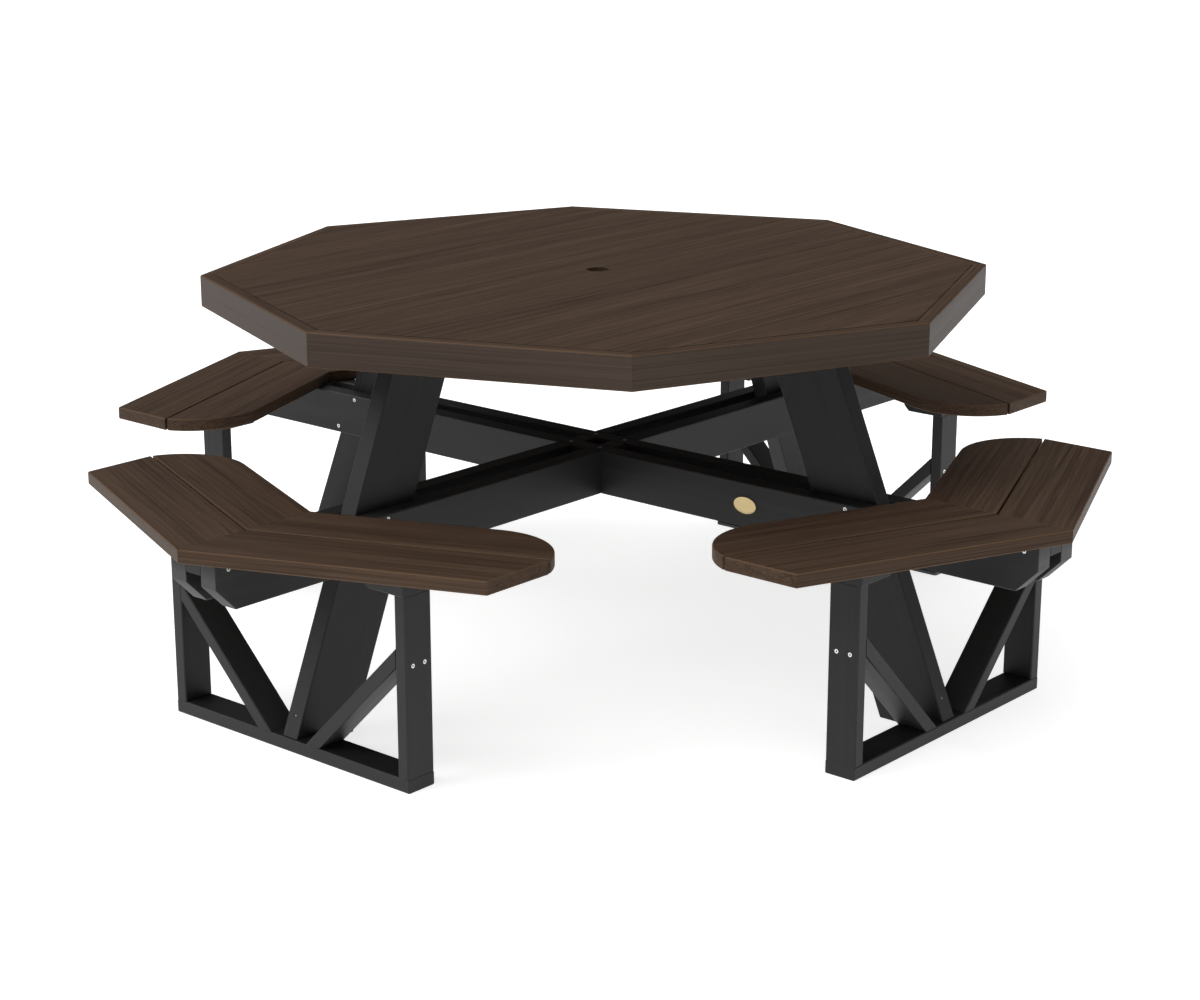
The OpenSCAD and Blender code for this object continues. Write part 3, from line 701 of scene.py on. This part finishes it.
def screw_places(nodes):
    """Each screw of the CAD model: the middle of its head, the way it points and its length."""
    places = []
    for node in nodes:
        bm = bmesh.new()
        bm.from_mesh(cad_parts[node].data)
        bmesh.ops.remove_doubles(bm, verts=bm.verts, dist=1e-5)
        waiting = set(bm.verts)
        while waiting:
            screw, fresh = set(), [next(iter(waiting))]
            while fresh:
                v = fresh.pop()
                if v not in screw:
                    screw.add(v)
                    fresh += [e.other_vert(v) for e in v.link_edges]
            waiting -= screw
            head = max({f for v in screw for f in v.link_faces}, key=lambda f: f.calc_area())
            points = np.array([v.co for v in screw])
            spread = points.max(0) - points.min(0)
            axis = int(spread.argmax())
            ends = points[:, axis].min(), points[:, axis].max()
            aside = np.delete(points - points.mean(0), axis, 1)
            wide = points[np.linalg.norm(aside, axis=1).argmax(), axis]
            head_at, tip_at = sorted(ends, key=lambda end: abs(end - wide))
            middle = (points.max(0) + points.min(0)) / 2
            middle[axis] = head_at
            way = np.zeros(3)
            way[axis] = np.sign(tip_at - head_at)
            places.append((tuple(middle), tuple(way), float(abs(tip_at - head_at))))
        bm.free()
    return sorted(places)


steel, net = new_finish("stainless_screw_steel")
place = net.add("ShaderNodeTexCoord", output="Object")
brushing = net.add("ShaderNodeTexNoise", None, {"Vector": place, "Scale": 1500.0, "Detail": 2.0})
steel_colour = blend_colours(net, brushing, (0.72, 0.72, 0.71, 1), (0.90, 0.90, 0.88, 1))
# Painted shade: the steel in the socket turns near black towards its bottom.
grime = net.add("ShaderNodeAttribute", {"attribute_name": "grime"}, output="Fac")
steel_colour = blend_colours(net, step(net, grime, 0.0, 1.0), steel_colour, (0.02, 0.02, 0.02, 1))
steel_surface = net.add("ShaderNodeBump", None, {"Strength": 0.2, "Distance": 0.0001, "Height": brushing})
steel_shader = net.add("ShaderNodeBsdfPrincipled", None, {
    "Base Color": steel_colour, "Metallic": 1.0, "Roughness": brushing * 0.2 + 0.25, "Normal": steel_surface})
net.add("ShaderNodeOutputMaterial", None, {"Surface": steel_shader})

screw_nodes = ["beam_screws", "frame_screws", "top_screws", "seat_screws", "strap_screws"]
places = screw_places(screw_nodes)
dots = bpy.data.meshes.new("screws")
dots.from_pydata([p for p, _, _ in places], [], [])
dots.attributes.new("aim", "FLOAT_VECTOR", "POINT").data.foreach_set("vector", [c for _, w, _ in places for c in w])
dots.attributes.new("reach", "FLOAT", "POINT").data.foreach_set("value", [length for _, _, length in places])
screws = run_tree("screws", screws_tree(), {
    "Head diameter": head_d, "Head height": head_h, "Shank diameter": shank_d, "Material": steel}, dots)
give(screws, "screw_steel", *screw_nodes)


# ---- Oval plate ----
# A small oval plate of yellow brass is fixed to the outer face of the front beam. It has a
# raised rim, coloured dark brown on its outer part, about a plain, finely brushed field, and carries no mark.
plate_low, plate_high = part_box("oval_plate")
plate_middle = (plate_low + plate_high) / 2
plate_half = (plate_high - plate_low) / 2
rim_profile = [(1.0, 0.0), (1.0, 0.55), (0.985, 0.85), (0.955, 1.0), (0.92, 0.88), (0.90, 0.62), (0.89, 0.55)]
around = 72
bm = bmesh.new()
rings = []
for share, height in rim_profile:
    rim_inset = (1 - share) * plate_half.x
    rings.append([bm.verts.new((plate_middle.x + (plate_half.x - rim_inset) * math.cos(a),
                                plate_high.y - height * (plate_high.y - plate_low.y),
                                plate_middle.z + (plate_half.z - rim_inset) * math.sin(a)))
                  for a in np.arange(around) * math.tau / around])
for low, high in zip(rings, rings[1:]):
    for i in range(around):
        j = (i + 1) % around
        bm.faces.new((low[i], low[j], high[j], high[i]))
bm.faces.new(rings[-1])
bm.faces.new(rings[0][::-1])
bmesh.ops.recalc_face_normals(bm, faces=bm.faces)
plate_mesh = bpy.data.meshes.new("blank_oval_plate")
bm.to_mesh(plate_mesh)
bm.free()
brass, net = new_finish("brass")
place = net.add("ShaderNodeTexCoord", output="Object")
lines = net.add("ShaderNodeMapping", None, {"Vector": place, "Scale": (60.0, 1.0, 2600.0)})
brushed = net.add("ShaderNodeTexNoise", None, {"Vector": lines, "Scale": 1.0, "Detail": 2.0})
tarnish = net.add("ShaderNodeTexNoise", None, {"Vector": place, "Scale": 90.0, "Detail": 3.0})
brass_colour = blend_colours(net, brushed * 0.6 + tarnish * 0.4, (0.80, 0.60, 0.27, 1), (1.0, 0.82, 0.44, 1))
across = net.add("ShaderNodeVectorMath", {"operation": "SUBTRACT"}, {0: place, 1: tuple(plate_middle)})
across = net.add("ShaderNodeVectorMath", {"operation": "DIVIDE"}, {0: across, 1: (plate_half.x, 1.0, plate_half.z)})
across = net.add("ShaderNodeVectorMath", {"operation": "LENGTH"}, {0: across}, "Value")
# The outer part of the rim is coloured dark brown.
brass_colour = blend_colours(net, step(net, across, 0.93, 0.97), brass_colour, (0.060, 0.035, 0.012, 1))
brass_surface = net.add("ShaderNodeBump", None, {"Strength": 0.25, "Distance": 0.0001, "Height": brushed})
brass_shader = net.add("ShaderNodeBsdfPrincipled", None, {
    "Base Color": brass_colour, "Metallic": 0.30, "Roughness": tarnish * 0.2 + 0.32, "Normal": brass_surface})
net.add("ShaderNodeOutputMaterial", None, {"Surface": brass_shader})
plate = finished("blank_oval_plate", plate_mesh, brass)
give(plate, "brass_plate", "oval_plate")
